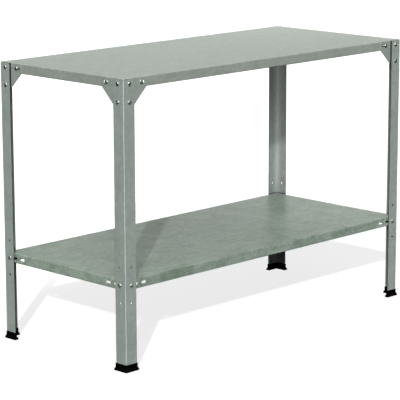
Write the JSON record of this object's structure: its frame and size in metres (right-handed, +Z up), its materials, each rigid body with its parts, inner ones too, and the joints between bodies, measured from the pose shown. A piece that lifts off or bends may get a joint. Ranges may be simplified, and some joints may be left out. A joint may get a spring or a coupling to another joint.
{
  "type": "potting bench",
  "caption": "Two-tier galvanised steel potting bench: folded worktop and lower shelf bolted to angle legs with corner gussets and black plastic feet.",
  "frame": {"origin": "on the floor, under the middle of the bench", "axes": "+X along the bench's length, +Y from its front to its back, +Z up"},
  "size_m": [1.11, 0.49, 0.765],
  "materials": {
    "shelf_sheet": "galvanised, satin, softly mottled",
    "leg_sheet": "galvanised, satin, streaked along its length",
    "gusset_sheet": "galvanised, satin",
    "zinc_fasteners": "bright zinc plated",
    "foot_plastic": "moulded, matt black"
  },
  "bodies": {
    "root": {"top_shelf": "shelf_sheet", "lower_shelf": "shelf_sheet", "leg_front_left": "leg_sheet", "foot_front_left": "foot_plastic", "gusset_front_left_long": "gusset_sheet", "gusset_front_left_end": "gusset_sheet", "bolts_top_front_left": "zinc_fasteners", "nuts_top_front_left": "zinc_fasteners", "bolts_lower_front_left": "zinc_fasteners", "nuts_lower_front_left": "zinc_fasteners", "washers_lower_front_left": "zinc_fasteners", "leg_front_right": "leg_sheet", "foot_front_right": "foot_plastic", "gusset_front_right_long": "gusset_sheet", "gusset_front_right_end": "gusset_sheet", "bolts_top_front_right": "zinc_fasteners", "nuts_top_front_right": "zinc_fasteners", "bolts_lower_front_right": "zinc_fasteners", "nuts_lower_front_right": "zinc_fasteners", "washers_lower_front_right": "zinc_fasteners", "leg_back_right": "leg_sheet", "foot_back_right": "foot_plastic", "gusset_back_right_long": "gusset_sheet", "gusset_back_right_end": "gusset_sheet", "bolts_top_back_right": "zinc_fasteners", "nuts_top_back_right": "zinc_fasteners", "bolts_lower_back_right": "zinc_fasteners", "nuts_lower_back_right": "zinc_fasteners", "washers_lower_back_right": "zinc_fasteners", "leg_back_left": "leg_sheet", "foot_back_left": "foot_plastic", "gusset_back_left_long": "gusset_sheet", "gusset_back_left_end": "gusset_sheet", "bolts_top_back_left": "zinc_fasteners", "nuts_top_back_left": "zinc_fasteners", "bolts_lower_back_left": "zinc_fasteners", "nuts_lower_back_left": "zinc_fasteners", "washers_lower_back_left": "zinc_fasteners"}
  },
  "joints": []
}
